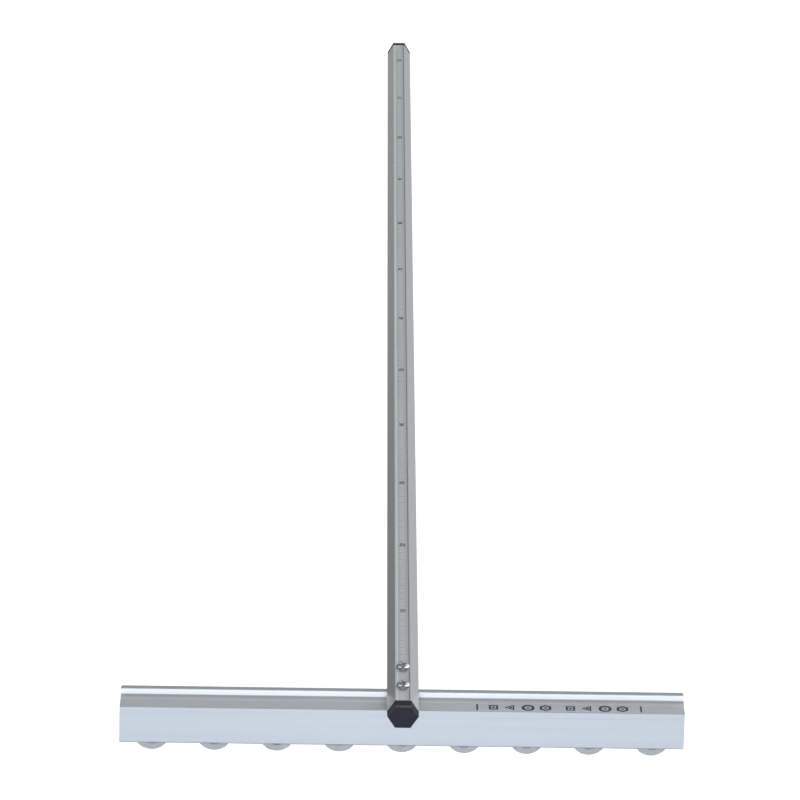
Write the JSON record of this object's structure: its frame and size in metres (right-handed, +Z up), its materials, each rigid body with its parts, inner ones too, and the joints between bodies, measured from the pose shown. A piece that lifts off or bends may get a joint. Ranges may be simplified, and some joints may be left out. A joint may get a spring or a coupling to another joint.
{
  "type": "rolling t-square",
  "caption": "Rolling T-square for cutting sheet glass: a hexagonal aluminium scale beam screwed across an extruded head that runs on nylon wheels.",
  "frame": {"origin": "centre of the fence, the head's flat rear face, below the beam", "axes": "+X along the head to the right, +Y along the beam away from the head, +Z up to the scale"},
  "size_m": [0.4988, 1.284, 0.0795],
  "materials": {
    "aluminium_extrusion": "satin anodised, fine lengthwise lines",
    "scale_aluminium": "matt with printed marks",
    "black_plastic": "moulded, low sheen",
    "white_nylon": "translucent white",
    "bright_steel": "bright plated",
    "zinc_steel": "zinc plated",
    "label_film": "silver film"
  },
  "bodies": {
    "head": {"head_extrusion": "aluminium_extrusion", "beam_tube": "aluminium_extrusion", "scale_strip": "scale_aluminium", "label_plate": "label_film", "near_end_plug": "black_plastic", "far_end_plug": "black_plastic", "beam_core": "zinc_steel", "beam_screw_near": "bright_steel", "beam_screw_far": "bright_steel", "wheel_carrier": "zinc_steel", "carrier_screw_1": "zinc_steel", "carrier_screw_2": "zinc_steel", "carrier_screw_3": "zinc_steel", "carrier_screw_4": "zinc_steel", "axle_1": "zinc_steel", "axle_2": "zinc_steel", "axle_3": "zinc_steel", "axle_4": "zinc_steel", "axle_5": "zinc_steel", "axle_6": "zinc_steel", "axle_7": "zinc_steel", "axle_8": "zinc_steel", "axle_9": "zinc_steel"},
    "wheel_1": {"wheel_1": "white_nylon", "wheel_bush_1": "zinc_steel"},
    "wheel_2": {"wheel_2": "white_nylon", "wheel_bush_2": "zinc_steel"},
    "wheel_3": {"wheel_3": "white_nylon", "wheel_bush_3": "zinc_steel"},
    "wheel_4": {"wheel_4": "white_nylon", "wheel_bush_4": "zinc_steel"},
    "wheel_5": {"wheel_5": "white_nylon", "wheel_bush_5": "zinc_steel"},
    "wheel_6": {"wheel_6": "white_nylon", "wheel_bush_6": "zinc_steel"},
    "wheel_7": {"wheel_7": "white_nylon", "wheel_bush_7": "zinc_steel"},
    "wheel_8": {"wheel_8": "white_nylon", "wheel_bush_8": "zinc_steel"},
    "wheel_9": {"wheel_9": "white_nylon", "wheel_bush_9": "zinc_steel"}
  },
  "joints": [
    {"name": "wheel_1_spin", "type": "hinge", "parent": "head", "child": "wheel_1", "pos_m": [-0.2212, -0.00875, -0.017], "axis": [0, 1, 0], "continuous": true},
    {"name": "wheel_2_spin", "type": "hinge", "parent": "head", "child": "wheel_2", "pos_m": [-0.1659, -0.00875, -0.017], "axis": [0, 1, 0], "continuous": true},
    {"name": "wheel_3_spin", "type": "hinge", "parent": "head", "child": "wheel_3", "pos_m": [-0.1106, -0.00875, -0.017], "axis": [0, 1, 0], "continuous": true},
    {"name": "wheel_4_spin", "type": "hinge", "parent": "head", "child": "wheel_4", "pos_m": [-0.0553, -0.00875, -0.017], "axis": [0, 1, 0], "continuous": true},
    {"name": "wheel_5_spin", "type": "hinge", "parent": "head", "child": "wheel_5", "pos_m": [0, -0.00875, -0.017], "axis": [0, 1, 0], "continuous": true},
    {"name": "wheel_6_spin", "type": "hinge", "parent": "head", "child": "wheel_6", "pos_m": [0.0553, -0.00875, -0.017], "axis": [0, 1, 0], "continuous": true},
    {"name": "wheel_7_spin", "type": "hinge", "parent": "head", "child": "wheel_7", "pos_m": [0.1106, -0.00875, -0.017], "axis": [0, 1, 0], "continuous": true},
    {"name": "wheel_8_spin", "type": "hinge", "parent": "head", "child": "wheel_8", "pos_m": [0.1659, -0.00875, -0.017], "axis": [0, 1, 0], "continuous": true},
    {"name": "wheel_9_spin", "type": "hinge", "parent": "head", "child": "wheel_9", "pos_m": [0.2212, -0.00875, -0.017], "axis": [0, 1, 0], "continuous": true}
  ]
}
